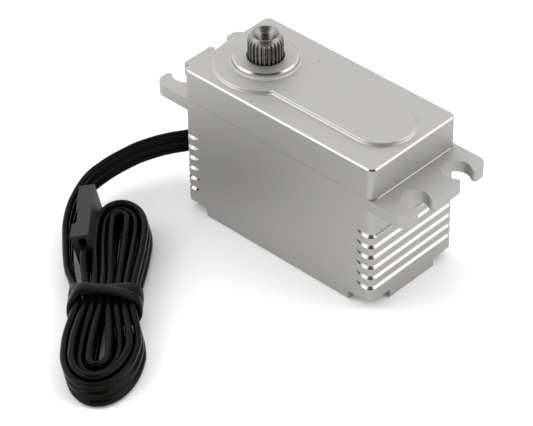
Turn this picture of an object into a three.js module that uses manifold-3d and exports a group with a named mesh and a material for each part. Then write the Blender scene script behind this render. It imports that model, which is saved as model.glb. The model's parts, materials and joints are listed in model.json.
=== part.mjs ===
// A hobby servo motor: a low-profile digital servo in a machined aluminium case, its lead folded in a hank.
//
// Millimetres, +Z up. The origin is under the middle of the case, on the surface that the servo stands on.
// +X runs along the case, away from the output shaft; the lead leaves the end face on the -X side.

import * as THREE from "three";
import { mergeVertices } from "three/addons/utils/BufferGeometryUtils.js";
import Module from "manifold-3d";

const wasm = await Module();
wasm.setup();

// ---------------------------------------------------------------- driving dimensions

const CASE_LENGTH = 40.5;
const CASE_WIDTH = 20;
const CASE_CORNER = 1.2; // radius of the upright corners
const FLANGE_BOTTOM = 1.5; // underside of the corners, where the screw heads are sunk
const LOWER_SEAM = 3; // between the bottom cover and the middle case
const UPPER_SEAM = 22.1; // between the middle case and the top case, level with the ears
const CASE_TOP = 27.9;
const SEAM_GAP = 0.03;
const EDGE_CHAMFER = 0.25;
const BOTTOM_CHAMFER = 0.12;

const EAR_REACH = 27; // from the middle of the case to the ear's outer edge
const EAR_THICKNESS = 2.2;
const EAR_CORNER = 2;
const EAR_BEAD = 0.09; // the sloping bead where an ear meets the top case
const SLOT_X = 24.5;
const SLOT_Y = 5;
const SLOT_RADIUS = 2.4;
const SLOT_MOUTH = 3.4;
const MOUTH_ROUNDING = 0.5;

const GROOVE_COUNT = 6;
const GROOVE_PITCH = 2.09;
const GROOVE_FIRST = 4.38; // height of the lowest groove's middle
const GROOVE_DEPTH = 0.8; // and its height: its lower wall slopes at 45 degrees
const GROOVE_RUN = 18.6; // x where the cutter leaves full depth on a long face
const CUTTER_RADIUS = 1.9;

const SHAFT_X = -11.4;
const PAD_RADIUS = 8.5; // the raised pad about the shaft, and its tail along the case
const PAD_HALF_TAIL = 5.45;
const PAD_END_X = 13.3;
const PAD_TOP = 28.4;
const PAD_CHAMFER = 0.14;
const FOOT_FLARE = 0.22; // the 45 degree skirt at the foot of the raised pad
const BOSS_RADIUS = 5.4;
const BOSS_TOP = 29.45;
const BOSS_EDGE = 0.3;
const BOSS_FLARE = [0.45, 0.14]; // how far the boss widens, at its foot and a little above it
const BOSS_FLARE_RISE = [0.18, 0.5];
const SHAFT_TOP = 33.65;
const CROWN_HEIGHT = 1.6; // the rounded end of the spline, as two cones
const CROWN_SHOULDER = 0.55; // from the shaft's end down to where the cones meet
const CROWN_RADII = [3.1, 2.66, 2.2];
const THREAD_PITCH = 0.5; // M3 in the end of the shaft
const THREAD_MINOR = 1.22;
const THREAD_MAJOR = 1.5;

const CAVITY_HALF_WIDTH = 8.4;
const LOWER_HALF_LENGTH = 18.45; // thicker end walls where the grooves are
const UPPER_HALF_LENGTH = 19.05;
const DECK_BOTTOM = 17.4; // the web between the motor and the gears
const DECK_TOP = 18.8;
const CEILING = 26.3;
const SCREW_X = 17.8;
const SCREW_Y = 7.5;
const POST_RADIUS = 2.1;
const SCREW_HEAD_DEPTH = 0.95;
const NOTCH_X = 15.6; // the bottom cover's pad is cut away beyond these, round each screw head
const NOTCH_Y = 5.3;

const TEETH = {
  pinion: 10,
  first: 46,
  firstPinion: 12,
  second: 38,
  secondPinion: 14,
  third: 36,
  thirdPinion: 10,
  output: 27,
};
const MODULE_MOTOR = 0.3;
const MODULE_MIDDLE = 0.37;
const MODULE_OUTPUT = 0.5;
const PIN_X = SHAFT_X + (MODULE_OUTPUT * (TEETH.output + TEETH.thirdPinion)) / 2;
const MOTOR_X = PIN_X + (MODULE_MOTOR * (TEETH.first + TEETH.pinion)) / 2;
const PIN_RADIUS = 1;
const JOURNAL_RADIUS = 1.5;

const LEAD_WIDTH = 4.3;
const LEAD_THICKNESS = 1.3;
const EXIT_HEIGHT = 7.3;
const HANK_ANGLE = THREE.MathUtils.degToRad(-48.73); // the hank's long axis, turned about the origin from +X

// The uncoiled stretch of the lead, from the grommet to the hank.
const LEAD_ROUTE = [
  [-22.3, 0, 7.3],
  [-23.7, -0.6, 7.3],
  [-24.9, -2.3, 7.2],
  [-26.1, -4.2, 7.1],
  [-27.4, -6, 7],
  [-28.6, -7.8, 6.8],
  [-29.6, -9.8, 6.6],
  [-30.5, -11.8, 6.3],
  [-31.4, -15.1, 5.8],
  [-31.8, -17.9, 5.4],
  [-31.8, -20.8, 5],
  [-31.1, -23.75, 4.4],
  [-29.6, -27.25, 3.6],
  [-27.2, -30.55, 2.9],
  [-24.4, -33.35, 2.4],
  [-22, -35.55, 2.3],
];

// ---------------------------------------------------------------- materials

function finish(color, roughness, metalness) {
  return new THREE.MeshStandardMaterial({ color, roughness, metalness });
}

const aluminium = finish(0xbfc0be, 0.42, 1);
const shaftSteel = finish(0x8d8781, 0.28, 1);
const blackSteel = finish(0x24231f, 0.4, 1);
const polishedSteel = finish(0xc9ccd0, 0.2, 1);
const hardenedSteel = finish(0x9a9ca0, 0.3, 1);
const brass = finish(0xc8a24e, 0.3, 1);
const copper = finish(0xb4643a, 0.4, 1);
const magnetNickel = finish(0x77797c, 0.35, 1);
const blackPlastic = finish(0x1c1c1e, 0.5, 0);
const greyPlastic = finish(0x2b2c30, 0.55, 0);
const blackRubber = finish(0x161617, 0.6, 0);
const cableJacket = finish(0x18181a, 0.35, 0);
const boardGreen = finish(0x1d5a3a, 0.5, 0);

// ---------------------------------------------------------------- solids

// A three.js geometry as a solid that can be joined and cut.
function solidOf(geometry) {
  const bare = geometry.clone();
  bare.deleteAttribute("normal");
  bare.deleteAttribute("uv");
  const merged = mergeVertices(bare, 1e-4);
  return new wasm.Manifold(
    new wasm.Mesh({
      numProp: 3,
      vertProperties: merged.attributes.position.array,
      triVerts: new Uint32Array(merged.index.array),
    }),
  );
}

function geometryOf(solid) {
  const mesh = solid.getMesh();
  const geometry = new THREE.BufferGeometry();
  geometry.setAttribute("position", new THREE.BufferAttribute(new Float32Array(mesh.vertProperties), 3));
  geometry.setIndex(new THREE.BufferAttribute(new Uint32Array(mesh.triVerts), 1));
  geometry.computeVertexNormals();
  return geometry;
}

function join(...solids) {
  return solids.reduce((whole, solid) => whole.add(solid));
}

function cut(whole, ...tools) {
  return tools.reduce((rest, tool) => rest.subtract(tool), whole);
}

// An upright round bar, tapered when a top radius is given.
function bar(x, y, radius, z0, z1, sides = 32, topRadius = radius) {
  const geometry = new THREE.CylinderGeometry(topRadius, radius, z1 - z0, sides);
  geometry.rotateX(Math.PI / 2);
  geometry.translate(x, y, (z0 + z1) / 2);
  return solidOf(geometry);
}

function block(x0, x1, y0, y1, z0, z1) {
  const geometry = new THREE.BoxGeometry(x1 - x0, y1 - y0, z1 - z0);
  geometry.translate((x0 + x1) / 2, (y0 + y1) / 2, (z0 + z1) / 2);
  return solidOf(geometry);
}

function ring(x, y, inner, outer, z0, z1, sides = 32) {
  return cut(bar(x, y, outer, z0, z1, sides), bar(x, y, inner, z0 - 1, z1 + 1, sides));
}

function prism(shape, z0, z1, curveSegments = 8) {
  const geometry = new THREE.ExtrudeGeometry(shape, { depth: z1 - z0, bevelEnabled: false, curveSegments });
  geometry.translate(0, 0, z0);
  return solidOf(geometry);
}

// A prism with its top edge chamfered, or its bottom edge when low is true.
function chamferedPrism(shape, z0, z1, chamfer, low = false, curveSegments = 8) {
  const geometry = new THREE.ExtrudeGeometry(shape, {
    depth: z1 - z0,
    bevelEnabled: true,
    bevelThickness: chamfer,
    bevelSize: chamfer,
    bevelOffset: -chamfer,
    bevelSegments: 1,
    curveSegments,
  });
  geometry.translate(0, 0, low ? z0 + chamfer : z0 - chamfer);
  const far = 100;
  const spare = low ? block(-far, far, -far, far, z1, z1 + far) : block(-far, far, -far, far, z0 - far, z0);
  return cut(solidOf(geometry), spare);
}

function roundedRectangle(halfLength, halfWidth, radius) {
  const shape = new THREE.Shape();
  const quarter = Math.PI / 2;
  shape.absarc(halfLength - radius, halfWidth - radius, radius, 0, quarter);
  shape.absarc(-halfLength + radius, halfWidth - radius, radius, quarter, 2 * quarter);
  shape.absarc(-halfLength + radius, -halfWidth + radius, radius, 2 * quarter, 3 * quarter);
  shape.absarc(halfLength - radius, -halfWidth + radius, radius, 3 * quarter, 4 * quarter);
  shape.closePath();
  return shape;
}

function caseOutline() {
  return roundedRectangle(CASE_LENGTH / 2, CASE_WIDTH / 2, CASE_CORNER);
}

function atFourCorners(x, y, make) {
  const solids = [];
  for (const side of [-1, 1]) {
    for (const end of [-1, 1]) {
      solids.push(make(side * x, end * y));
    }
  }
  return solids;
}

// The room inside the case: a box that leaves a round post for each case screw.
function cavity(halfLength, halfWidth, z0, z1) {
  const posts = atFourCorners(SCREW_X, SCREW_Y, (x, y) => bar(x, y, POST_RADIUS, z0 - 1, z1 + 1, 16));
  const corners = atFourCorners(1, 1, (x, y) => {
    const edges = [x * SCREW_X, x * (halfLength + 1)].sort((a, b) => a - b);
    const sides = [y * (SCREW_Y - POST_RADIUS), y * (halfWidth + 1)].sort((a, b) => a - b);
    return block(...edges, ...sides, z0 - 1, z1 + 1);
  });
  return cut(block(-halfLength, halfLength, -halfWidth, halfWidth, z0, z1), ...posts, ...corners);
}

function screwHoles(radius, z0, z1) {
  return atFourCorners(SCREW_X, SCREW_Y, (x, y) => bar(x, y, radius, z0, z1, 16));
}

// ---------------------------------------------------------------- case

function padOutline(grown = 0) {
  const radius = PAD_RADIUS + grown;
  const halfTail = PAD_HALF_TAIL + grown;
  const meet = Math.asin(halfTail / radius);
  const shape = new THREE.Shape();
  shape.absarc(SHAFT_X, 0, radius, meet, 2 * Math.PI - meet);
  shape.absarc(PAD_END_X, 0, halfTail, -Math.PI / 2, Math.PI / 2);
  shape.closePath();
  return shape;
}

function topCase() {
  const plate = chamferedPrism(caseOutline(), UPPER_SEAM + SEAM_GAP, CASE_TOP, EDGE_CHAMFER, false, 6);
  const pad = chamferedPrism(padOutline(), CASE_TOP - 0.5, PAD_TOP, PAD_CHAMFER, false, 20);
  const skirtTop = CASE_TOP + FOOT_FLARE;
  const skirt = chamferedPrism(padOutline(FOOT_FLARE), CASE_TOP - 0.5, skirtTop, FOOT_FLARE, false, 20);
  const [footRadius, waistRadius] = BOSS_FLARE.map((flare) => BOSS_RADIUS + flare);
  const [waist, flareTop] = BOSS_FLARE_RISE.map((rise) => PAD_TOP + rise);
  const bossFoot = bar(SHAFT_X, 0, footRadius, PAD_TOP, waist, 40, waistRadius);
  const bossFlare = bar(SHAFT_X, 0, waistRadius, waist, flareTop, 40, BOSS_RADIUS);
  const boss = bar(SHAFT_X, 0, BOSS_RADIUS, PAD_TOP - 0.5, BOSS_TOP - BOSS_EDGE, 40);
  const bossEdge = bar(SHAFT_X, 0, BOSS_RADIUS, BOSS_TOP - BOSS_EDGE, BOSS_TOP, 40, BOSS_RADIUS - BOSS_EDGE);
  const bearingPocket = bar(SHAFT_X, 0, 5.06, CEILING - 1, 28.84);
  const shaftHole = bar(SHAFT_X, 0, 3.15, 28, BOSS_TOP + 1);
  const pinHole = bar(PIN_X, 0, PIN_RADIUS + 0.03, CEILING - 1, 27.1);
  const room = cavity(UPPER_HALF_LENGTH, CAVITY_HALF_WIDTH, UPPER_SEAM - 1, CEILING);
  return cut(
    join(plate, pad, skirt, bossFoot, bossFlare, boss, bossEdge),
    room,
    bearingPocket,
    shaftHole,
    pinHole,
    ...screwHoles(1.15, UPPER_SEAM - 1, 25.6),
  );
}

// One groove round both ends of the case: a 45 degree lower wall under a flat roof, run out on the long
// faces.
function grooveCutter(middle) {
  const low = middle - GROOVE_DEPTH / 2;
  const high = middle + GROOVE_DEPTH / 2;
  const around = CASE_LENGTH / 2 + 1;
  const aside = CASE_WIDTH / 2 + 1;
  const over = 0.02; // the core stands a little above the groove's roof
  const core = chamferedPrism(caseOutline(), low - 1, high + over, GROOVE_DEPTH + over, false, 5);
  const slab = block(-around, around, -aside, aside, low, high);
  const keep = block(-GROOVE_RUN, GROOVE_RUN, -aside - 1, aside + 1, low - 1, high + 1);
  const axis = CASE_WIDTH / 2 - GROOVE_DEPTH + CUTTER_RADIUS;
  const runOuts = atFourCorners(GROOVE_RUN, axis, (x, y) =>
    bar(x, y, CUTTER_RADIUS - GROOVE_DEPTH, low, high, 20, CUTTER_RADIUS),
  );
  return join(cut(slab, core, keep), ...runOuts);
}

function ears() {
  const z0 = UPPER_SEAM - EAR_THICKNESS;
  const plate = prism(roundedRectangle(EAR_REACH, CASE_WIDTH / 2, EAR_CORNER), z0, UPPER_SEAM, 6);
  const slots = atFourCorners(SLOT_X, SLOT_Y, (x, y) => {
    const mouth = [x, x + Math.sign(x) * 5].sort((a, b) => a - b);
    return join(
      bar(x, y, SLOT_RADIUS, z0 - 1, UPPER_SEAM + 1, 28),
      block(...mouth, y - SLOT_MOUTH / 2, y + SLOT_MOUTH / 2, z0 - 1, UPPER_SEAM + 1),
      mouthRounding(Math.sign(x), y + SLOT_MOUTH / 2, 1),
      mouthRounding(Math.sign(x), y - SLOT_MOUTH / 2, -1),
    );
  });
  return cut(plate, ...slots);
}

// What rounds off one corner of a slot's mouth: a square that keeps a quarter of a round bar.
function mouthRounding(end, edge, side) {
  const r = MOUTH_ROUNDING;
  const z0 = UPPER_SEAM - EAR_THICKNESS - 1;
  const along = [end * (EAR_REACH - r), end * (EAR_REACH + 1)].sort((a, b) => a - b);
  const across = [edge - side * 0.1, edge + side * r].sort((a, b) => a - b);
  const square = block(...along, ...across, z0, UPPER_SEAM + 1);
  return cut(square, bar(end * (EAR_REACH - r), edge + side * r, r, z0 - 1, UPPER_SEAM + 2, 20));
}

// A low bead round the foot of the top case, left only where the ears are.
function earBead() {
  const around = roundedRectangle(CASE_LENGTH / 2 + EAR_BEAD, CASE_WIDTH / 2 - 0.3, CASE_CORNER);
  const inside = roundedRectangle(CASE_LENGTH / 2 + 0.02, CASE_WIDTH / 2 + 1, CASE_CORNER);
  return cut(
    chamferedPrism(around, UPPER_SEAM - 0.5, UPPER_SEAM + EAR_BEAD, EAR_BEAD, false, 5),
    prism(inside, UPPER_SEAM, UPPER_SEAM + 1, 5),
  );
}

function middleCase() {
  const shell = prism(caseOutline(), LOWER_SEAM + SEAM_GAP, UPPER_SEAM, 5);
  const bearingSeat = bar(SHAFT_X, 0, 4.4, 15.8, DECK_BOTTOM + 0.5);
  const lowerRoom = cavity(LOWER_HALF_LENGTH, CAVITY_HALF_WIDTH, LOWER_SEAM - 1, DECK_BOTTOM);
  const upperRoom = cavity(UPPER_HALF_LENGTH, CAVITY_HALF_WIDTH, DECK_TOP, UPPER_SEAM + 1);
  const grooves = [];
  for (let k = 0; k < GROOVE_COUNT; k += 1) {
    grooves.push(grooveCutter(GROOVE_FIRST + k * GROOVE_PITCH));
  }
  return cut(
    join(cut(join(shell, ears(), earBead()), lowerRoom, upperRoom), bearingSeat),
    bar(SHAFT_X, 0, 3.04, 16.4, DECK_TOP + 1), // lower bearing
    bar(SHAFT_X, 0, 1.9, 15, DECK_TOP), // output journal
    bar(PIN_X, 0, PIN_RADIUS + 0.03, DECK_BOTTOM - 1, DECK_TOP + 1),
    bar(MOTOR_X, 0, 2.6, DECK_BOTTOM - 1, DECK_TOP + 1), // motor boss and pinion
    bar(MOTOR_X, -5.2, 0.9, DECK_BOTTOM - 1, DECK_TOP + 1, 16), // motor screws
    bar(MOTOR_X, 5.2, 0.9, DECK_BOTTOM - 1, DECK_TOP + 1, 16),
    block(-CASE_LENGTH / 2 - 1, -LOWER_HALF_LENGTH + 1, -1.3, 1.3, EXIT_HEIGHT - 2.7, EXIT_HEIGHT + 2.7),
    ...screwHoles(1.2, LOWER_SEAM - 1, UPPER_SEAM + 1),
    ...grooves,
  );
}

function padUnderOutline() {
  const x = CASE_LENGTH / 2;
  const y = CASE_WIDTH / 2;
  const shape = new THREE.Shape();
  shape.moveTo(x, -NOTCH_Y);
  shape.lineTo(x, NOTCH_Y);
  shape.lineTo(NOTCH_X, NOTCH_Y);
  shape.lineTo(NOTCH_X, y);
  shape.lineTo(-NOTCH_X, y);
  shape.lineTo(-NOTCH_X, NOTCH_Y);
  shape.lineTo(-x, NOTCH_Y);
  shape.lineTo(-x, -NOTCH_Y);
  shape.lineTo(-NOTCH_X, -NOTCH_Y);
  shape.lineTo(-NOTCH_X, -y);
  shape.lineTo(NOTCH_X, -y);
  shape.lineTo(NOTCH_X, -NOTCH_Y);
  shape.closePath();
  return shape;
}

function bottomCover() {
  const flange = chamferedPrism(caseOutline(), FLANGE_BOTTOM, LOWER_SEAM, BOTTOM_CHAMFER, true, 5);
  const pad = chamferedPrism(padUnderOutline(), 0, FLANGE_BOTTOM + 0.6, BOTTOM_CHAMFER, true);
  const pocket = block(-15.2, 15.2, -8, 8, 1.2, LOWER_SEAM + 1);
  const headPockets = screwHoles(1.75, 0, FLANGE_BOTTOM + SCREW_HEAD_DEPTH);
  return cut(join(flange, pad), pocket, ...headPockets, ...screwHoles(1.2, 0, LOWER_SEAM + 1));
}

function caseScrew(x, y) {
  const seat = FLANGE_BOTTOM + SCREW_HEAD_DEPTH - 0.03;
  const head = bar(x, y, 1.6, FLANGE_BOTTOM + 0.08, seat, 24);
  const shank = bar(x, y, 1.08, seat - 0.1, 25.3, 16);
  const socket = bar(x, y, 0.8, FLANGE_BOTTOM - 1, seat - 0.25, 6);
  return cut(join(head, shank), socket);
}

// ---------------------------------------------------------------- gears

// Half the angle that a tooth takes up at a radius, for a 20 degree involute on the pitch radius.
function toothHalfAngle(teeth, module, radius) {
  const pitch = (teeth * module) / 2;
  const base = pitch * Math.cos(THREE.MathUtils.degToRad(20));
  const involute = (at) => {
    const angle = Math.acos(Math.min(1, base / at));
    return Math.tan(angle) - angle;
  };
  const backlash = 0.09 * module;
  const atPitch = Math.PI / (2 * teeth) - backlash / pitch;
  return atPitch + involute(pitch) - involute(Math.max(radius, base));
}

// A spur gear's outline. The first tooth points at the angle phase.
function gearOutline(x, teeth, module, phase) {
  const pitch = (teeth * module) / 2;
  const tip = pitch + 0.8 * module;
  const root = pitch - 1.1 * module;
  const heights = teeth < 20 ? [root, pitch, tip] : [root, tip];
  const points = [];
  for (let k = 0; k < teeth; k += 1) {
    const middle = phase + (2 * Math.PI * k) / teeth;
    const flank = heights.map((radius) => [radius, toothHalfAngle(teeth, module, radius)]);
    const rising = flank.map(([radius, half]) => [radius, middle - half]);
    const falling = flank.map(([radius, half]) => [radius, middle + half]).reverse();
    for (const [radius, angle] of [...rising, ...falling]) {
      points.push(new THREE.Vector2(x + radius * Math.cos(angle), radius * Math.sin(angle)));
    }
  }
  return new THREE.Shape(points);
}

function gear(x, teeth, module, phase, z0, z1) {
  return prism(gearOutline(x, teeth, module, phase), z0, z1);
}

// Teeth point along +X on every wheel whose mate lies that way; its mate has a gap there.
function gapPhase(teeth) {
  return Math.PI / teeth;
}

function firstGear() {
  return cut(
    join(
      bar(PIN_X, 0, 1.8, 18.9, 19.6, 24),
      gear(PIN_X, TEETH.first, MODULE_MOTOR, 0, 19.1, 20.3),
      gear(PIN_X, TEETH.firstPinion, MODULE_MIDDLE, gapPhase(TEETH.firstPinion), 19.6, 22),
    ),
    bar(PIN_X, 0, PIN_RADIUS + 0.05, 18, 23, 24),
  );
}

function secondGear() {
  return cut(
    join(
      gear(SHAFT_X, TEETH.second, MODULE_MIDDLE, 0, 20.6, 21.8),
      gear(SHAFT_X, TEETH.secondPinion, MODULE_MIDDLE, 0, 21.2, 23.5),
    ),
    bar(SHAFT_X, 0, JOURNAL_RADIUS + 0.06, 20, 24, 24),
  );
}

function thirdGear() {
  return cut(
    join(
      bar(PIN_X, 0, 1.8, 22.08, 22.8, 24),
      gear(PIN_X, TEETH.third, MODULE_MIDDLE, gapPhase(TEETH.third), 22.3, 23.4),
      gear(PIN_X, TEETH.thirdPinion, MODULE_OUTPUT, gapPhase(TEETH.thirdPinion), 22.8, 26),
    ),
    bar(PIN_X, 0, PIN_RADIUS + 0.05, 21, 27, 24),
  );
}

function motorPinion() {
  return cut(
    gear(MOTOR_X, TEETH.pinion, MODULE_MOTOR, gapPhase(TEETH.pinion), 18.9, 20.5),
    bar(MOTOR_X, 0, 0.78, 18, 21, 16),
  );
}

function splineOutline() {
  const teeth = 25;
  const tooth = [
    [2.55, 0.08],
    [2.93, 0.34],
    [2.93, 0.66],
    [2.55, 0.92],
  ];
  const points = [];
  for (let k = 0; k < teeth; k += 1) {
    for (const [radius, share] of tooth) {
      const angle = (2 * Math.PI * (k + share)) / teeth;
      points.push(new THREE.Vector2(SHAFT_X + radius * Math.cos(angle), radius * Math.sin(angle)));
    }
  }
  return new THREE.Shape(points);
}

function outputShaft() {
  const gearDisc = gear(SHAFT_X, TEETH.output, MODULE_OUTPUT, 0, 23.9, 25.9);
  const journal = bar(SHAFT_X, 0, JOURNAL_RADIUS, 12.9, 24.2, 24);
  const hub = bar(SHAFT_X, 0, 2.3, 23.56, 24.2, 24);
  const shoulder = bar(SHAFT_X, 0, 3.5, 25.6, 26.22);
  const seat = bar(SHAFT_X, 0, 2.96, 26, 28.9);
  const crownFoot = SHAFT_TOP - CROWN_HEIGHT;
  const crownShoulder = SHAFT_TOP - CROWN_SHOULDER;
  const [wide, middle, narrow] = CROWN_RADII;
  const crown = join(
    bar(SHAFT_X, 0, wide, crownFoot, crownShoulder, 50, middle),
    bar(SHAFT_X, 0, middle, crownShoulder, SHAFT_TOP, 50, narrow),
  );
  const spline = prism(splineOutline(), 28.5, crownFoot);
  const splinedEnd = prism(splineOutline(), crownFoot, SHAFT_TOP).intersect(crown);
  const tapped = bar(SHAFT_X, 0, THREAD_MINOR, 26.6, SHAFT_TOP + 1, 20);
  const countersink = bar(SHAFT_X, 0, 1.3, SHAFT_TOP - 0.8, SHAFT_TOP + 0.01, 28, 2.05);
  return cut(
    join(journal, hub, gearDisc, shoulder, seat, spline, splinedEnd),
    tapped,
    countersink,
    ...threadGrooves(SHAFT_TOP - 0.75, 7),
  );
}

// The tapped hole's thread, as rings of V section below a height.
function threadGrooves(top, count) {
  const grooves = [];
  for (let k = 0; k < count; k += 1) {
    const middle = top - (k + 0.5) * THREAD_PITCH;
    const half = 0.42 * THREAD_PITCH;
    grooves.push(bar(SHAFT_X, 0, THREAD_MINOR, middle - half, middle, 20, THREAD_MAJOR));
    grooves.push(bar(SHAFT_X, 0, THREAD_MAJOR, middle, middle + half, 20, THREAD_MINOR));
  }
  return grooves;
}

// ---------------------------------------------------------------- motor, sensor and board

function motorCan() {
  return cut(
    join(bar(MOTOR_X, 0, 8, 5.3, 17.3), bar(MOTOR_X, 0, 2.5, 17, 18.5, 20)),
    bar(MOTOR_X, 0, 7.5, 5, 16.5),
    bar(MOTOR_X, 0, 1.9, 17, 19, 20),
    bar(MOTOR_X, 0, 1.2, 16, 18, 16),
    bar(MOTOR_X, -5.2, 0.8, 16, 18, 16),
    bar(MOTOR_X, 5.2, 0.8, 16, 18, 16),
  );
}

function motorEndCap() {
  return cut(
    bar(MOTOR_X, 0, 7.4, 5.35, 6.6),
    bar(MOTOR_X, 0, 1.9, 5.8, 7, 20),
    bar(MOTOR_X, 0, 1, 5, 6, 16),
  );
}

function motorScrew(y) {
  return cut(
    join(bar(MOTOR_X, y, 1.4, 18.85, 19.6, 20), bar(MOTOR_X, y, 0.75, 15.9, 19, 12)),
    bar(MOTOR_X, y, 0.6, 19.1, 20, 6),
  );
}

function circuitBoard() {
  const reliefs = atFourCorners(SCREW_X, SCREW_Y, (x, y) => bar(x, y, POST_RADIUS + 0.3, 3, 6, 20));
  const corners = atFourCorners(1, 1, (x, y) => {
    const edges = [x * SCREW_X, x * 20].sort((a, b) => a - b);
    const sides = [y * (SCREW_Y - POST_RADIUS - 0.3), y * 9].sort((a, b) => a - b);
    return block(...edges, ...sides, 3, 6);
  });
  return cut(block(-18.1, 18.1, -8.1, 8.1, 3.9, 4.9), ...reliefs, ...corners);
}

function capacitor() {
  return join(bar(-3.9, 5, 2.5, 5.3, 10.6, 24), bar(-3.9, 5, 2.2, 4.95, 5.5, 24));
}

// ---------------------------------------------------------------- lead

function grommet() {
  const low = EXIT_HEIGHT - 3.1;
  const high = EXIT_HEIGHT + 3.1;
  const outside = -CASE_LENGTH / 2;
  return cut(
    join(
      block(outside - 1.75, outside - 0.05, -1.9, 1.9, low, high),
      block(outside - 1, -LOWER_HALF_LENGTH + 0.3, -1.2, 1.2, EXIT_HEIGHT - 2.6, EXIT_HEIGHT + 2.6),
      block(-LOWER_HALF_LENGTH + 0.05, -LOWER_HALF_LENGTH + 0.6, -1.9, 1.9, EXIT_HEIGHT - 2.2, high),
    ),
    block(outside - 3, outside + 3, -0.85, 0.85, EXIT_HEIGHT - 2.3, EXIT_HEIGHT + 2.3),
  );
}

// The lead's flat section, its width upright along the whole of the route.
function leadSection() {
  const half = LEAD_WIDTH / 2;
  const side = LEAD_THICKNESS / 2;
  const round = 0.45;
  return new THREE.Shape([
    new THREE.Vector2(half, side - round),
    new THREE.Vector2(half - round, side),
    new THREE.Vector2(-half + round, side),
    new THREE.Vector2(-half, side - round),
    new THREE.Vector2(-half, -side + round),
    new THREE.Vector2(-half + round, -side),
    new THREE.Vector2(half - round, -side),
    new THREE.Vector2(half, -side + round),
  ]);
}

function leadTube() {
  const route = new THREE.CatmullRomCurve3(LEAD_ROUTE.map((point) => new THREE.Vector3(...point)));
  return new THREE.ExtrudeGeometry(leadSection(), { extrudePath: route, steps: 28, bevelEnabled: false });
}

// The hank and its band, in the hank's own axes: x along its length, y across it.
const HANK = {
  top: 4.7,
  bandStart: 21.3,
  bandEnd: 25.7,
  low: -39.1,
  high: -26.1,
  end: 45.5,
  loopLow: -34.6,
  loopHigh: -26.8,
  loopEnd: -2.6,
  neck: 12.5, // where the run that comes from the case joins the others
  neckLow: -41.1,
};
const BAND = { low: -39.3, high: -26.9, top: 6.2, wall: 0.95 };

function hankOutline() {
  const loop = (HANK.loopHigh - HANK.loopLow) / 2;
  const end = (HANK.high - HANK.low) / 2;
  const shape = new THREE.Shape();
  shape.moveTo(HANK.neck, HANK.neckLow);
  shape.lineTo(21, HANK.low);
  shape.absarc(HANK.end - end, HANK.low + end, end, -Math.PI / 2, Math.PI / 2);
  shape.lineTo(20, HANK.high - 0.4);
  shape.absarc(HANK.loopEnd + loop, HANK.loopLow + loop, loop, Math.PI / 2, (3 * Math.PI) / 2);
  shape.lineTo(HANK.neck, HANK.loopLow);
  shape.closePath();
  return shape;
}

function hank() {
  const whole = prism(hankOutline(), 0, HANK.top, 10);
  const about = [HANK.bandStart - 0.3, HANK.bandEnd + 0.3];
  const gap = BAND.wall + 0.3;
  const side = BAND.low + gap;
  const otherSide = BAND.high - gap;
  return cut(
    whole,
    block(...about, BAND.low - 5, side, -1, 9),
    block(...about, otherSide, BAND.high + 5, -1, 9),
    block(...about, BAND.low - 5, BAND.high + 5, -1, gap),
    block(...about, BAND.low - 5, BAND.high + 5, BAND.top - gap, 9),
  );
}

// A ring that stands across the hank: drawn in its section, then turned to run along the hank.
function bandGeometry() {
  const halfWidth = (BAND.high - BAND.low) / 2;
  const halfHeight = BAND.top / 2;
  const outline = roundedRectangle(halfWidth, halfHeight, 2.2);
  outline.holes.push(roundedRectangle(halfWidth - BAND.wall, halfHeight - BAND.wall, 1));
  const geometry = new THREE.ExtrudeGeometry(outline, {
    depth: HANK.bandEnd - HANK.bandStart,
    bevelEnabled: false,
    curveSegments: 4,
  });
  const acrossUpAlong = new THREE.Matrix4().makeBasis(
    new THREE.Vector3(0, 1, 0),
    new THREE.Vector3(0, 0, 1),
    new THREE.Vector3(1, 0, 0),
  );
  geometry.applyMatrix4(acrossUpAlong);
  geometry.translate(HANK.bandStart, BAND.low + halfWidth, halfHeight);
  return geometry;
}

const PLUG = {
  length: 13.1,
  height: 7.6,
  thickness: 2.6,
  pitch: 2.54,
  lean: THREE.MathUtils.degToRad(12),
  place: [-0.9, -36.25, 0.3], // its corner, in the hank's axes
};

// The housing lies along x with its sockets at x = 0; y is its thickness and z its height.
function connectorHousing() {
  const t = PLUG.thickness / 2;
  const sockets = [];
  for (const place of [-1, 0, 1]) {
    const z = PLUG.height / 2 + place * PLUG.pitch;
    sockets.push(block(-1, PLUG.length + 1, -0.65, 0.65, z - 0.65, z + 0.65));
  }
  return cut(
    join(
      block(0, PLUG.length, -t, t, 0, PLUG.height),
      block(PLUG.length - 3.3, PLUG.length, -t - 0.4, 0, 0, PLUG.height),
    ),
    block(6.2, 9.6, -t - 1, -t + 0.35, PLUG.height - 1.3, PLUG.height + 1),
    ...sockets,
  );
}

function connectorContact(place) {
  const z = PLUG.height / 2 + place * PLUG.pitch;
  return cut(
    block(0.8, PLUG.length - 3, -0.55, 0.55, z - 0.55, z + 0.55),
    block(0, PLUG.length - 5, -0.33, 0.33, z - 0.33, z + 0.33),
  );
}

// ---------------------------------------------------------------- assembly

const servo = new THREE.Group();

function add(parent, name, shape, material) {
  const geometry = shape.isBufferGeometry ? shape : geometryOf(shape);
  const mesh = new THREE.Mesh(geometry, material);
  mesh.name = name;
  parent.add(mesh);
}

function addCase() {
  add(servo, "top_case", topCase(), aluminium);
  add(servo, "middle_case", middleCase(), aluminium);
  add(servo, "bottom_cover", bottomCover(), aluminium);
  atFourCorners(SCREW_X, SCREW_Y, caseScrew).forEach((screw, k) => {
    add(servo, `case_screw_${k + 1}`, screw, blackSteel);
  });
}

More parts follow.
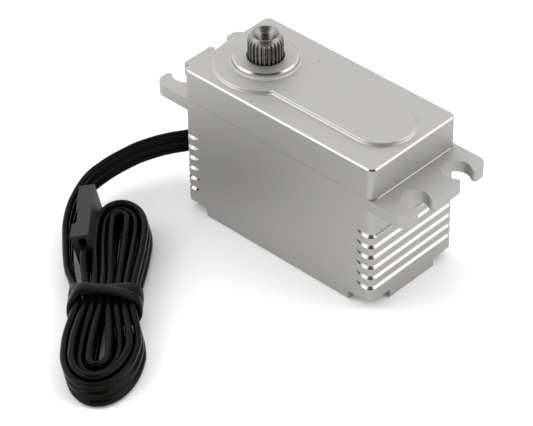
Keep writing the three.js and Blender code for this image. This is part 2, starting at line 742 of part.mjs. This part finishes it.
function addGears() {
  add(servo, "output_shaft", outputShaft(), shaftSteel);
  add(servo, "upper_bearing", ring(SHAFT_X, 0, 3.03, 5, 26.34, 28.8), polishedSteel);
  add(servo, "lower_bearing", ring(SHAFT_X, 0, 1.57, 3, 16.44, DECK_TOP, 28), polishedSteel);
  add(servo, "gear_spacer", ring(SHAFT_X, 0, 1.57, 1.87, 18.86, 20.54, 28), brass);
  add(servo, "third_gear", thirdGear(), hardenedSteel);
  add(servo, "second_gear", secondGear(), hardenedSteel);
  add(servo, "first_gear", firstGear(), hardenedSteel);
  add(servo, "gear_pin", bar(PIN_X, 0, PIN_RADIUS, 17.45, 27, 20), polishedSteel);
}

function addMotor() {
  add(servo, "motor_can", motorCan(), polishedSteel);
  add(servo, "motor_end_cap", motorEndCap(), blackPlastic);
  add(servo, "motor_stator", ring(MOTOR_X, 0, 4.2, 7.4, 7.6, 15.6), copper);
  add(servo, "motor_front_bearing", ring(MOTOR_X, 0, 0.83, 1.86, 17.04, 18.45, 20), polishedSteel);
  add(servo, "motor_rear_bearing", ring(MOTOR_X, 0, 0.83, 1.86, 5.84, 6.6, 20), polishedSteel);
  add(servo, "motor_magnet", ring(MOTOR_X, 0, 0.78, 3.9, 8, 15.2, 24), magnetNickel);
  add(servo, "motor_shaft", bar(MOTOR_X, 0, 0.75, 5.9, 20.7, 16), polishedSteel);
  add(servo, "motor_pinion", motorPinion(), brass);
  add(servo, "motor_screw_1", motorScrew(-5.2), blackSteel);
  add(servo, "motor_screw_2", motorScrew(5.2), blackSteel);
}

function addSensor() {
  const body = cut(bar(SHAFT_X, 0, 4.8, 11.6, 14.8), bar(SHAFT_X, 0, 3.9, 12.5, 15));
  add(servo, "sensor_body", body, blackPlastic);
  add(servo, "sensor_cover", ring(SHAFT_X, 0, 1.8, 4.8, 14.86, 15.4), polishedSteel);
  add(servo, "sensor_wiper", ring(SHAFT_X, 0, 1.53, 3.6, 13.2, 14.2, 24), brass);
  for (const place of [-1, 0, 1]) {
    const x = SHAFT_X + place * 2.5;
    add(servo, `sensor_terminal_${place + 2}`, block(x - 0.25, x + 0.25, -0.15, 0.15, 4.95, 11.55), brass);
  }
}

function addBoard() {
  add(servo, "circuit_board", circuitBoard(), boardGreen);
  add(servo, "microcontroller", block(-6, 1, -3.5, 3.5, 2.85, 3.85), blackPlastic);
  add(servo, "capacitor", capacitor(), polishedSteel);
  for (let row = 0; row < 2; row += 1) {
    for (let k = 0; k < 3; k += 1) {
      const x = 4.9 + k * 4.2;
      const y = row ? 2.5 : -2.5;
      const chip = block(x - 1.65, x + 1.65, y - 1.65, y + 1.65, 2.95, 3.85);
      add(servo, `power_transistor_${row * 3 + k + 1}`, chip, blackPlastic);
    }
  }
}

function addLead() {
  add(servo, "lead_grommet", grommet(), blackRubber);
  add(servo, "servo_lead", leadTube(), cableJacket);
  const turned = new THREE.Group();
  turned.rotation.z = HANK_ANGLE;
  servo.add(turned);
  add(turned, "lead_hank", hank(), cableJacket);
  add(turned, "rubber_band", bandGeometry(), blackRubber);
  const plug = new THREE.Group();
  plug.position.set(...PLUG.place);
  plug.rotation.x = PLUG.lean;
  turned.add(plug);
  add(plug, "connector_housing", connectorHousing(), greyPlastic);
  for (const place of [-1, 0, 1]) {
    add(plug, `connector_contact_${place + 2}`, connectorContact(place), brass);
  }
}

addCase();
addGears();
addMotor();
addSensor();
addBoard();
addLead();

export default servo;
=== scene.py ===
"""A hobby servo motor in a machined aluminium case, its flat lead folded in a hank under a rubber band.

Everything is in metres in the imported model's frame: +Z up from the floor, +X along the case away from the
output shaft. MM turns the millimetres below into metres.
"""

import json
import math

import bmesh
import bpy
from mathutils import Matrix, Vector


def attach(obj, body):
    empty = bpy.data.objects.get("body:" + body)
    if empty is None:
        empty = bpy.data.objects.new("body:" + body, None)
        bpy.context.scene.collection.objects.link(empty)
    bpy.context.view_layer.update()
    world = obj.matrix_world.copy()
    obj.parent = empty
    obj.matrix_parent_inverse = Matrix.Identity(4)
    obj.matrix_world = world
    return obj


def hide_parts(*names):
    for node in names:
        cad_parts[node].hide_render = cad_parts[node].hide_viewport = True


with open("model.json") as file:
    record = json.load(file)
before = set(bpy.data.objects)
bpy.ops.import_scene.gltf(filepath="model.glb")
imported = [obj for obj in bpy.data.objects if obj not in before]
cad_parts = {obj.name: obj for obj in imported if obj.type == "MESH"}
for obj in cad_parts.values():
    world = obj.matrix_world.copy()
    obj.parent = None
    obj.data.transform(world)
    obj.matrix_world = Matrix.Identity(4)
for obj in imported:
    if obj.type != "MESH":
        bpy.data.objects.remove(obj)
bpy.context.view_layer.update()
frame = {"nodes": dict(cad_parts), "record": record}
NODES = frame["nodes"]
MM = 0.001

# ---------------------------------------------------------------- camera

CAMERA_ANGLES = (43.6, 38.69, -0.774)  # azimuth, elevation and roll, in degrees
CAMERA_TARGET = (-2.28, -9.88, 7.79)
CAMERA_DISTANCE = 443.8
LENS = 186
SENSOR_WIDTH = 36


def make_camera():
    azimuth, elevation, roll = (math.radians(angle) for angle in CAMERA_ANGLES)
    target = Vector(CAMERA_TARGET) * MM
    distance = CAMERA_DISTANCE * MM
    back = Vector(
        (
            math.sin(azimuth) * math.cos(elevation),
            -math.cos(azimuth) * math.cos(elevation),
            math.sin(elevation),
        )
    )
    level = Vector((math.cos(azimuth), math.sin(azimuth), 0))
    upright = back.cross(level)
    right = level * math.cos(roll) + upright * math.sin(roll)
    up = back.cross(right)
    camera = bpy.data.objects.new("camera", bpy.data.cameras.new("camera"))
    camera.data.lens = LENS
    camera.data.sensor_width = SENSOR_WIDTH
    camera.data.clip_start = 0.01
    camera.data.clip_end = 20
    camera.matrix_world = Matrix.Translation(target + back * distance) @ Matrix(
        (right, up, back)
    ).transposed().to_4x4()
    bpy.context.scene.collection.objects.link(camera)
    bpy.context.scene.camera = camera


make_camera()

# ---------------------------------------------------------------- mesh helpers


def mesh_object(name, vertices, faces):
    mesh = bpy.data.meshes.new(name)
    mesh.from_pydata([tuple(v) for v in vertices], [], faces)
    work = bmesh.new()
    work.from_mesh(mesh)
    bmesh.ops.recalc_face_normals(work, faces=work.faces)
    work.to_mesh(mesh)
    work.free()
    mesh.polygons.foreach_set("use_smooth", [True] * len(mesh.polygons))
    made = bpy.data.objects.new(name, mesh)
    bpy.context.scene.collection.objects.link(made)
    return made


def catmull_rom(points, steps, closed=False):
    """A smooth run of points through the given ones; each point may be a vector of any length."""
    count = len(points)
    spans = count if closed else count - 1
    made = []
    for i in range(spans):
        ids = [i - 1, i, i + 1, i + 2]
        if closed:
            p = [points[k % count] for k in ids]
        else:
            p = [points[min(max(k, 0), count - 1)] for k in ids]
        for step in range(steps):
            t = step / steps
            weights = (
                (-t + 2 * t**2 - t**3) / 2,
                (2 - 5 * t**2 + 3 * t**3) / 2,
                (t + 4 * t**2 - 3 * t**3) / 2,
                (-(t**2) + t**3) / 2,
            )
            made.append([sum(w * q[axis] for w, q in zip(weights, p)) for axis in range(len(p[0]))])
    if not closed:
        made.append(list(points[-1]))
    return made


def evenly(points, gap, closed=False):
    """The same line with its points about a gap apart; the first three numbers of a point are its place."""
    line = points + [points[0]] if closed else points
    travelled = [0.0]
    for a, b in zip(line, line[1:]):
        travelled.append(travelled[-1] + math.dist(a[:3], b[:3]))
    count = max(2, round(travelled[-1] / gap))
    made = []
    place = 0
    for step in range(count if closed else count + 1):
        target = travelled[-1] * step / count
        while place < len(line) - 2 and travelled[place + 1] < target:
            place += 1
        span = travelled[place + 1] - travelled[place]
        share = (target - travelled[place]) / span if span else 0
        a, b = line[place], line[place + 1]
        made.append([a[axis] + (b[axis] - a[axis]) * share for axis in range(len(a))])
    return made


def sweep(name, stations, section, closed=False):
    """A skin round a line. Each station is its place, its upward and its sideways direction."""
    sides = len(section)
    vertices = []
    for place, up, aside in stations:
        vertices.extend(place + up * a + aside * b for a, b in section)
    faces = []
    rings = len(stations)
    for ring in range(rings if closed else rings - 1):
        here, after = ring * sides, (ring + 1) % rings * sides
        for k in range(sides):
            along = (k + 1) % sides
            faces.append((here + k, here + along, after + along, after + k))
    if not closed:
        faces.append(tuple(range(sides)))
        faces.append(tuple(range((rings - 1) * sides, rings * sides)))
    return mesh_object(name, vertices, faces)


# ---------------------------------------------------------------- lead

LEAD_WIDTH = 4.3 * MM
LEAD_THICKNESS = 1.2 * MM
CORE_PITCH = 1.55 * MM
LEAD_STEP = 0.4 * MM
CORE_DEGREES = (20, 45, 72, 108, 135, 160)  # where the points stand round each core's upper half
HANK_TURN = math.radians(-48.73)
FLOOR_GAP = 0.03 * MM

# The uncoiled stretch, from the grommet to the hank: the same points as the CAD's.
LEAD_ROUTE = [
    (-0.0223, 0, 0.0073),
    (-0.0237, -0.0006, 0.0073),
    (-0.0249, -0.0023, 0.0072),
    (-0.0261, -0.0042, 0.0071),
    (-0.0274, -0.006, 0.007),
    (-0.0286, -0.0078, 0.0068),
    (-0.0296, -0.0098, 0.0066),
    (-0.0305, -0.0118, 0.0063),
    (-0.0314, -0.0151, 0.0058),
    (-0.0318, -0.0179, 0.0054),
    (-0.0318, -0.0208, 0.005),
    (-0.0311, -0.02375, 0.0044),
    (-0.0296, -0.02725, 0.0036),
    (-0.0272, -0.03055, 0.0029),
    (-0.0244, -0.03335, 0.0024),
    (-0.022, -0.03555, 0.0023),
]

# The hank's own measures, in millimetres: along its length, then across it.
BAND_ALONG = 23.4
BAND_LIFT = 1.0
RUNS = [-37.5, -36.2, -34.95, -33.7, -32.45, -31.2, -29.95, -28.7]
RUN_LEAN = 0.03  # for each millimetre that a run is from the middle of the hank
LEG_SHARES = (0.22, 0.44, 0.66, 0.86)
LEG_EASE = 1.1  # above 1, so that a leg is at its loop's width a little before the loop

# Where the lead comes to the band from the case, and where it leaves it for the connector: place along,
# across and lift, then lean along and across.
HANK_START = [
    (16.5, -39.2, 0.1, 0, -0.24),
    (20, -38.25, 0.5, 0, -0.08),
]
HANK_FINISH = [
    (19, -36.55, 1.15, 0, -0.05),
    (15.5, -36.95, 1.6, 0, -0.15),
    (12.2, -37.04, 1.85, 0, -0.21),
    (10.4, -37.04, 1.85, 0, -0.21),
]

# Each loop: the runs that it joins, how far across it bulges on each side, its far end, and its lift there.
TOP_LOOPS = {
    (8, 3): {"bulge": (-27.7, -35.7), "end": (-0.5, -31.8), "lift": 0.8},
    (4, 7): {"bulge": (-34.4, -29.3), "end": (0.2, -31.85), "lift": 0.05},
    (6, 5): {"bulge": (-30.75, -33.2), "end": (2.1, -31.95), "lift": 0.8},
}
BOTTOM_LOOPS = {
    (1, 8): {"bulge": (-38.3, -27.0), "end": (43.6, -33.2), "lift": 0.05},
    (7, 2): {"bulge": (-28.3, -37.0), "end": (42.35, -33.3), "lift": 0.8},
    (3, 6): {"bulge": (-35.7, -29.7), "end": (41.0, -33.2), "lift": 0.05},
    (5, 4): {"bulge": (-31.3, -34.2), "end": (39.6, -32.95), "lift": 0.8},
}
LOOP_STRETCH = 1.7
LEAN_ACROSS = -math.tan(math.radians(11))
LEAN_INWARD = math.tan(math.radians(9))


def from_hank(along, across, height):
    c, s = math.cos(HANK_TURN), math.sin(HANK_TURN)
    return Vector((along * c - across * s, along * s + across * c, height)) * MM


def through_band(run):
    """The point where a run passes under the band, leaning a little to the middle of the hank."""
    across = RUNS[run - 1]
    lean = (RUNS[3] + RUNS[4]) / 2 - across
    return (BAND_ALONG, across, BAND_LIFT, 0, lean * RUN_LEAN)


def eased(share):
    return share * share * (3 - 2 * share)


def leg_points(run, across, along, low):
    """Points from the band at a run's place to the wide part of its loop."""
    start = through_band(run)
    made = []
    for share in LEG_SHARES:
        ease = eased(min(1, LEG_EASE * share))
        reach = start[0] + (along - start[0]) * share
        place = start[1] + (across - start[1]) * ease
        lift = BAND_LIFT + (low - BAND_LIFT) * ease
        lean = start[4] + (LEAN_ACROSS - start[4]) * ease
        made.append((reach, place, lift, 0, lean))
    return made


def loop_points(runs, shape):
    """Points round one loop of the hank, from the band out to its end and back to the band."""
    first, last = shape["bulge"]
    end_along, end_across = shape["end"]
    middle = (first + last) / 2
    outward = math.copysign(1, end_along - BAND_ALONG)
    at = end_along - outward * LOOP_STRETCH * abs(first - last) / 2
    bend = []
    for degrees in range(0, 181, 20):
        turn = math.radians(degrees)
        out = math.sin(turn)
        across = middle + (first - middle) * math.cos(turn) + (end_across - middle) * out
        along = at + (end_along - at) * out
        bend.append((along, across, shape["lift"], -outward * LEAN_INWARD * out, LEAN_ACROSS))
    return [
        *leg_points(runs[0], first, at, shape["lift"]),
        *bend,
        *reversed(leg_points(runs[1], last, at, shape["lift"])),
    ]


def lead_points():
    """Place and lean along the whole lead: x, y, z, then how far its upper edge leans over, as x and y."""
    half = LEAD_WIDTH / 2
    made = []
    for k, place in enumerate(LEAD_ROUTE):
        beside_plug = eased(k / (len(LEAD_ROUTE) - 1))
        made.append((*place, *(from_hank(0, LEAN_ACROSS * beside_plug, 0) / MM)[:2]))
    hank = list(HANK_START)
    order = [(1, 8), (8, 3), (3, 6), (6, 5), (5, 4), (4, 7), (7, 2)]
    for runs in order:
        hank.append(through_band(runs[0]))
        shape = BOTTOM_LOOPS.get(runs) or TOP_LOOPS[runs]
        hank.extend(loop_points(runs, shape))
    hank.append(through_band(2))
    hank.extend(HANK_FINISH)
    for along, across, lift, lean_along, lean_across in hank:
        place = from_hank(along, across, lift)
        place.z += half + FLOOR_GAP
        lean = from_hank(lean_along, lean_across, 0) / MM
        made.append((*place, lean.x, lean.y))
    return made


def lead_section():
    """Three round cores side by side in one jacket, as (up, aside) pairs."""
    radius = LEAD_THICKNESS / 2
    upper = []
    for core in (1, 0, -1):
        for degrees in CORE_DEGREES:
            turn = math.radians(degrees)
            upper.append((core * CORE_PITCH + radius * math.cos(turn), radius * math.sin(turn)))
    tip = CORE_PITCH + radius
    lower = [(a, -b) for a, b in reversed(upper)]
    return [(tip, 0), *upper, (-tip, 0), *lower]


def lead_stations(line):
    stations = []
    for k, point in enumerate(line):
        before, after = line[max(k - 1, 0)], line[min(k + 1, len(line) - 1)]
        tangent = (Vector(after[:3]) - Vector(before[:3])).normalized()
        up = Vector((point[3], point[4], 1))
        up = (up - tangent * up.dot(tangent)).normalized()
        stations.append((Vector(point[:3]), up, tangent.cross(up)))
    return stations


def line_length(line):
    return sum(math.dist(a[:3], b[:3]) for a, b in zip(line, line[1:]))


lead_line = evenly(catmull_rom(lead_points(), 24), LEAD_STEP)
lead = sweep("lead_ribbon", lead_stations(lead_line), lead_section())
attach(lead, "case")
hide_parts("servo_lead", "lead_hank")

# ---------------------------------------------------------------- rubber band

BAND_WIDTH = 1.9 * MM
BAND_THICKNESS = 0.85 * MM
BAND_ROUNDING = 0.3 * MM
BAND_STEP = 0.35 * MM
BAND_POINTS = 48

# In the hank's measures: how far the band reaches across and up, and how square its turns are.
BAND_ACROSS = (-38.65, -27.55)
BAND_HEIGHTS = (0.48, 5.85)
BAND_POWER = 0.42
HEIGHT_POWER = 0.25  # added to the power for the height
TURN_APART = 1.05  # each turn's distance from the middle of the band
TURN_SPREAD = 0.45  # further apart on the connector's side
CROSSING_SHIFT = 1.15
CROSSING_ANGLE = 1.85  # radians round the band
CROSSING_WIDTH = 0.42
CROSSING_RISE = 0.75


def band_section():
    """A flat strip with rounded edges, as (outward, along the hank) pairs."""
    half, side = BAND_THICKNESS / 2, BAND_WIDTH / 2
    made = []
    for corner, (a, b) in enumerate([(1, 1), (-1, 1), (-1, -1), (1, -1)]):
        for degrees in (10, 45, 80):
            turn = math.radians(corner * 90 + degrees)
            out = (half - BAND_ROUNDING) * a + BAND_ROUNDING * math.cos(turn)
            along = (side - BAND_ROUNDING) * b + BAND_ROUNDING * math.sin(turn)
            made.append((out, along))
    return made


def band_points(side):
    """Points round one turn of the band, in the hank's measures."""
    left, right = BAND_ACROSS
    low, high = BAND_HEIGHTS
    middle_across, middle_height = (left + right) / 2, (low + high) / 2
    half_across, half_high = (right - left) / 2, (high - low) / 2
    points = []
    for step in range(BAND_POINTS):
        turn = 2 * math.pi * step / BAND_POINTS
        c, s = math.cos(turn), math.sin(turn)
        across = math.copysign(abs(c) ** BAND_POWER, c)
        height = math.copysign(abs(s) ** (BAND_POWER + HEIGHT_POWER), s)
        crossing = math.exp(-(((turn - CROSSING_ANGLE) / CROSSING_WIDTH) ** 2))
        along = BAND_ALONG + side * (TURN_APART + TURN_SPREAD * max(0, -c) - CROSSING_SHIFT * crossing)
        over = crossing * CROSSING_RISE if side > 0 else 0
        place = middle_across + across * (half_across + over * abs(c))
        points.append((along, place, middle_height + height * half_high + over))
    return points


def band_strand(name, side):
    """One turn of the band round the hank. The two turns cross on top, the second over the first."""
    world = [from_hank(*point) for point in band_points(side)]
    line = evenly(catmull_rom(world, 8, closed=True), BAND_STEP, closed=True)
    middle = from_hank(BAND_ALONG, sum(BAND_ACROSS) / 2, sum(BAND_HEIGHTS) / 2)
    stations = []
    for k, point in enumerate(line):
        place = Vector(point)
        tangent = (Vector(line[(k + 1) % len(line)]) - Vector(line[k - 1])).normalized()
        axis = from_hank(1, 0, 0) / MM
        axis = (axis - tangent * axis.dot(tangent)).normalized()
        outward = axis.cross(tangent)
        if outward.dot(place - middle) < 0:
            outward = -outward
        stations.append((place, outward, axis))
    return sweep(name, stations, band_section(), closed=True)


band_turns = [band_strand("rubber_band_turn_1", -1), band_strand("rubber_band_turn_2", 1)]
for turn in band_turns:
    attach(turn, "case")
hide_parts("rubber_band")
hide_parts("rubber_band")

print("lead length", round(line_length(lead_line), 4))

# ---------------------------------------------------------------- materials

BLASTED_DARK = (0.36, 0.357, 0.348)
BLASTED_LIGHT = (0.396, 0.393, 0.384)
BLASTED_CLOUD = (0.383, 0.38, 0.371)
CUT_BRIGHT = (0.32, 0.317, 0.31)
CUT_ROUGHNESS = 0.13
PAD_FOOT = (27.88 * MM, 27.9 * MM)  # heights where slopes change from bright to mostly satin
BOSS_WALL = (28.7 * MM, 28.9 * MM)  # and from mostly satin back to bright

def new_material(name):
    made = bpy.data.materials.new(name)
    made.use_nodes = True
    made.node_tree.nodes.clear()
    tree = made.node_tree
    output = tree.nodes.new("ShaderNodeOutputMaterial")
    shader = tree.nodes.new("ShaderNodeBsdfPrincipled")
    tree.links.new(shader.outputs[0], output.inputs[0])
    return made, tree, shader


def coordinates(tree, stretch=(1, 1, 1)):
    place = tree.nodes.new("ShaderNodeTexCoord")
    mapping = tree.nodes.new("ShaderNodeMapping")
    mapping.inputs["Scale"].default_value = stretch
    tree.links.new(place.outputs["Object"], mapping.inputs[0])
    return mapping.outputs[0]


def noise(tree, where, scale, detail=2.0, rough=0.5):
    node = tree.nodes.new("ShaderNodeTexNoise")
    node.inputs["Scale"].default_value = scale
    node.inputs["Detail"].default_value = detail
    node.inputs["Roughness"].default_value = rough
    tree.links.new(where, node.inputs["Vector"])
    return node.outputs["Fac"]


def ramp(tree, value, low, high, out_low, out_high):
    node = tree.nodes.new("ShaderNodeMapRange")
    node.interpolation_type = "SMOOTHSTEP"
    node.inputs["From Min"].default_value = low
    node.inputs["From Max"].default_value = high
    node.inputs["To Min"].default_value = out_low
    node.inputs["To Max"].default_value = out_high
    tree.links.new(value, node.inputs["Value"])
    return node.outputs[0]


def mix_color(tree, share, first, second):
    node = tree.nodes.new("ShaderNodeMix")
    node.data_type = "RGBA"
    tree.links.new(share, node.inputs[0])
    for socket, value in ((node.inputs[6], first), (node.inputs[7], second)):
        if hasattr(value, "links"):
            tree.links.new(value, socket)
        else:
            socket.default_value = (*value, 1)
    return node.outputs[2]


def math_node(tree, operation, first, second=None):
    node = tree.nodes.new("ShaderNodeMath")
    node.operation = operation
    for socket, value in ((node.inputs[0], first), (node.inputs[1], second)):
        if value is None:
            continue
        if hasattr(value, "links"):
            tree.links.new(value, socket)
        else:
            socket.default_value = value
    return node.outputs[0]


def bump(tree, shader, height, distance, strength=1.0):
    node = tree.nodes.new("ShaderNodeBump")
    node.inputs["Strength"].default_value = strength
    node.inputs["Distance"].default_value = distance
    tree.links.new(height, node.inputs["Height"])
    tree.links.new(node.outputs[0], shader.inputs["Normal"])


def case_material():
    """Bead-blasted aluminium with bright-cut slopes: the chamfers, the groove walls and the boss's edge."""
    made, tree, shader = new_material("case_aluminium_blasted")
    shader.inputs["Metallic"].default_value = 1
    where = coordinates(tree)
    grain = noise(tree, where, 9000, 3)
    cloud = noise(tree, where, 60, 3)
    blasted = mix_color(tree, grain, BLASTED_DARK, BLASTED_LIGHT)
    clouded = mix_color(tree, ramp(tree, cloud, 0.3, 0.7, 0, 0.35), blasted, BLASTED_CLOUD)
    normal = tree.nodes.new("ShaderNodeNewGeometry")
    split = tree.nodes.new("ShaderNodeSeparateXYZ")
    tree.links.new(normal.outputs["True Normal"], split.inputs[0])
    steep = math_node(tree, "ABSOLUTE", split.outputs[2])
    above_flat = ramp(tree, steep, 0.25, 0.45, 0, 1)
    below_level = ramp(tree, steep, 0.85, 0.97, 1, 0)
    height = tree.nodes.new("ShaderNodeSeparateXYZ")
    tree.links.new(where, height.inputs[0])
    above_pad_foot = ramp(tree, height.outputs[2], *PAD_FOOT, 1, 0.25)
    above_boss_foot = ramp(tree, height.outputs[2], *BOSS_WALL, 0, 0.75)
    cut_here = math_node(tree, "ADD", above_pad_foot, above_boss_foot)
    sloping = math_node(tree, "MULTIPLY", math_node(tree, "MULTIPLY", above_flat, below_level), cut_here)
    tree.links.new(mix_color(tree, sloping, clouded, CUT_BRIGHT), shader.inputs["Base Color"])
    satin = ramp(tree, grain, 0.3, 0.7, 0.5, 0.6)
    roughness = tree.nodes.new("ShaderNodeMix")
    tree.links.new(sloping, roughness.inputs[0])
    tree.links.new(satin, roughness.inputs[2])
    roughness.inputs[3].default_value = CUT_ROUGHNESS
    tree.links.new(roughness.outputs[0], shader.inputs["Roughness"])
    bump(tree, shader, grain, 0.004 * MM, 0.6)
    return made


def metal(name, color, roughness, grain_scale=7000, stretch=(1, 1, 1), spread=0.12):
    made, tree, shader = new_material(name)
    shader.inputs["Metallic"].default_value = 1
    where = coordinates(tree, stretch)
    grain = noise(tree, where, grain_scale, 3)
    dark = tuple(c * (1 - spread) for c in color)
    light = tuple(min(1, c * (1 + spread)) for c in color)
    tree.links.new(mix_color(tree, grain, dark, light), shader.inputs["Base Color"])
    rough = ramp(tree, grain, 0.3, 0.7, roughness - 0.05, roughness + 0.07)
    tree.links.new(rough, shader.inputs["Roughness"])
    bump(tree, shader, grain, 0.003 * MM, 0.5)
    return made


def plastic(name, color, roughness, grain_scale=5000, depth=0.006, spread=0.15, gloss=0.3):
    made, tree, shader = new_material(name)
    shader.inputs["Specular IOR Level"].default_value = gloss
    where = coordinates(tree)
    grain = noise(tree, where, grain_scale, 3)
    cloud = noise(tree, where, 250, 3)
    dark = tuple(c * (1 - spread) for c in color)
    light = tuple(c * (1 + spread) for c in color)
    tree.links.new(mix_color(tree, cloud, dark, light), shader.inputs["Base Color"])
    rough = ramp(tree, cloud, 0.3, 0.7, roughness - 0.05, roughness + 0.05)
    tree.links.new(rough, shader.inputs["Roughness"])
    bump(tree, shader, grain, depth * MM, 0.6)
    return made


MATERIALS = {
    "case": case_material(),
    "shaft": metal("shaft_steel_dark", (0.18, 0.165, 0.152), 0.27),
    "black_steel": metal("screw_black_oxide", (0.03, 0.03, 0.03), 0.38),
    "bright_steel": metal("steel_polished", (0.66, 0.66, 0.67), 0.2),
    "gear_steel": metal("steel_gear", (0.42, 0.42, 0.43), 0.3),
    "brass": metal("brass_satin", (0.72, 0.52, 0.2), 0.27),
    "copper": metal("copper_wire", (0.6, 0.24, 0.1), 0.35),
    "magnet": metal("magnet_nickel", (0.45, 0.45, 0.46), 0.25),
    "black_plastic": plastic("plastic_black", (0.02, 0.02, 0.021), 0.5),
    "connector": plastic("plastic_connector", (0.017, 0.017, 0.0185), 0.48, gloss=0.22),
    "rubber": plastic("rubber_black", (0.0035, 0.0032, 0.003), 0.34, 3000, 0.01, gloss=0.1),
    "jacket": plastic("lead_jacket_pvc", (0.0024, 0.0021, 0.0018), 0.2, 4000, 0.004, gloss=0.075),
    "board": plastic("board_green", (0.02, 0.11, 0.05), 0.4),
}

SLOT_LOOKS = {
    "case_aluminium": "case",
    "shaft_steel": "shaft",
    "black_steel": "black_steel",
    "bright_steel": "bright_steel",
    "gear_steel": "gear_steel",
    "brass": "brass",
    "copper": "copper",
    "magnet": "magnet",
    "black_plastic": "black_plastic",
    "grey_plastic": "connector",
    "black_rubber": "rubber",
    "lead_jacket": "jacket",
    "board": "board",
}


def paint(piece, look):
    piece.data.materials.clear()
    piece.data.materials.append(MATERIALS[look])


def soften(piece, width, segments=2):
    """Joins a CAD node's split corners, clears its flat faces of triangles and rounds its edges a little."""
    weld = piece.modifiers.new("weld", "WELD")
    weld.merge_threshold = 0.002 * MM
    flatten = piece.modifiers.new("flatten", "DECIMATE")
    flatten.decimate_type = "DISSOLVE"
    flatten.angle_limit = math.radians(0.6)
    bevel = piece.modifiers.new("edges", "BEVEL")
    bevel.width = width * MM
    bevel.segments = segments
    bevel.limit_method = "ANGLE"
    bevel.angle_limit = math.radians(33)
    bevel.harden_normals = False
    normals = piece.modifiers.new("normals", "WEIGHTED_NORMAL")
    normals.keep_sharp = True


def dress_cad_nodes():
    for entry in frame["record"]["subparts"]:
        node = NODES[entry["node"]]
        paint(node, SLOT_LOOKS[entry["material_slot"]])
        node.data.polygons.foreach_set("use_smooth", [True] * len(node.data.polygons))


dress_cad_nodes()
paint(lead, "jacket")
for turn in band_turns:
    paint(turn, "rubber")
for name in ("top_case", "middle_case", "bottom_cover", "connector_housing", "lead_grommet", "output_shaft"):
    soften(NODES[name], 0.08)

# ---------------------------------------------------------------- studio


BASE_LIGHT = 2
# Patches of the sky: direction, the degrees from it where the patch starts to fade and where it has faded
# out, and its light.
SKY = [
    ((0.456, -0.43, 0.78), 30, 42, 0.22),
    ((-0.54, 0.56, 0.62), 20, 55, 1.5),
    ((-0.54, -0.63, 0.57), 16, 22, 3.2),
    ((0.63, 0.57, 0.54), 16, 22, 3.1),
]
FLOOR_SIZE = 3
FLOOR_SHADES = ((0.95, 0.95, 0.95), (0.965, 0.965, 0.965))


def make_floor():
    size = FLOOR_SIZE
    corners = [(-size, -size, 0), (size, -size, 0), (size, size, 0), (-size, size, 0)]
    floor = mesh_object("floor", corners, [(0, 1, 2, 3)])
    made, tree, shader = new_material("floor_paper")
    where = coordinates(tree)
    paper = mix_color(tree, noise(tree, where, 40, 2), *FLOOR_SHADES)
    tree.links.new(paper, shader.inputs["Base Color"])
    shader.inputs["Roughness"].default_value = 0.9
    shader.inputs["Specular IOR Level"].default_value = 0.1
    floor.data.materials.append(made)


def toward(tree, direction, inner, outer):
    """1 within the inner angle of a direction, falling to 0 at the outer one, in degrees."""
    place = tree.nodes.new("ShaderNodeTexCoord")
    dot = tree.nodes.new("ShaderNodeVectorMath")
    dot.operation = "DOT_PRODUCT"
    dot.inputs[1].default_value = Vector(direction).normalized()
    tree.links.new(place.outputs["Generated"], dot.inputs[0])
    low, high = math.cos(math.radians(outer)), math.cos(math.radians(inner))
    return ramp(tree, dot.outputs["Value"], low, high, 0, 1)


def make_world():
    """A white tent with two bright patches, a dimmer one, and a dark one over the front corner."""
    world = bpy.data.worlds.new("studio")
    world.use_nodes = True
    tree = world.node_tree
    tree.nodes["Background"].inputs["Color"].default_value = (1, 1, 1, 1)
    brightness = BASE_LIGHT
    for direction, inner, outer, level in SKY:
        share = toward(tree, direction, inner, outer)
        node = tree.nodes.new("ShaderNodeMix")
        tree.links.new(share, node.inputs[0])
        if hasattr(brightness, "links"):
            tree.links.new(brightness, node.inputs[2])
        else:
            node.inputs[2].default_value = brightness
        node.inputs[3].default_value = level
        brightness = node.outputs[0]
    tree.links.new(brightness, tree.nodes["Background"].inputs["Strength"])
    bpy.context.scene.world = world


make_floor()
make_world()
bpy.context.scene.view_settings.view_transform = "Standard"
bpy.context.scene.view_settings.look = "None"
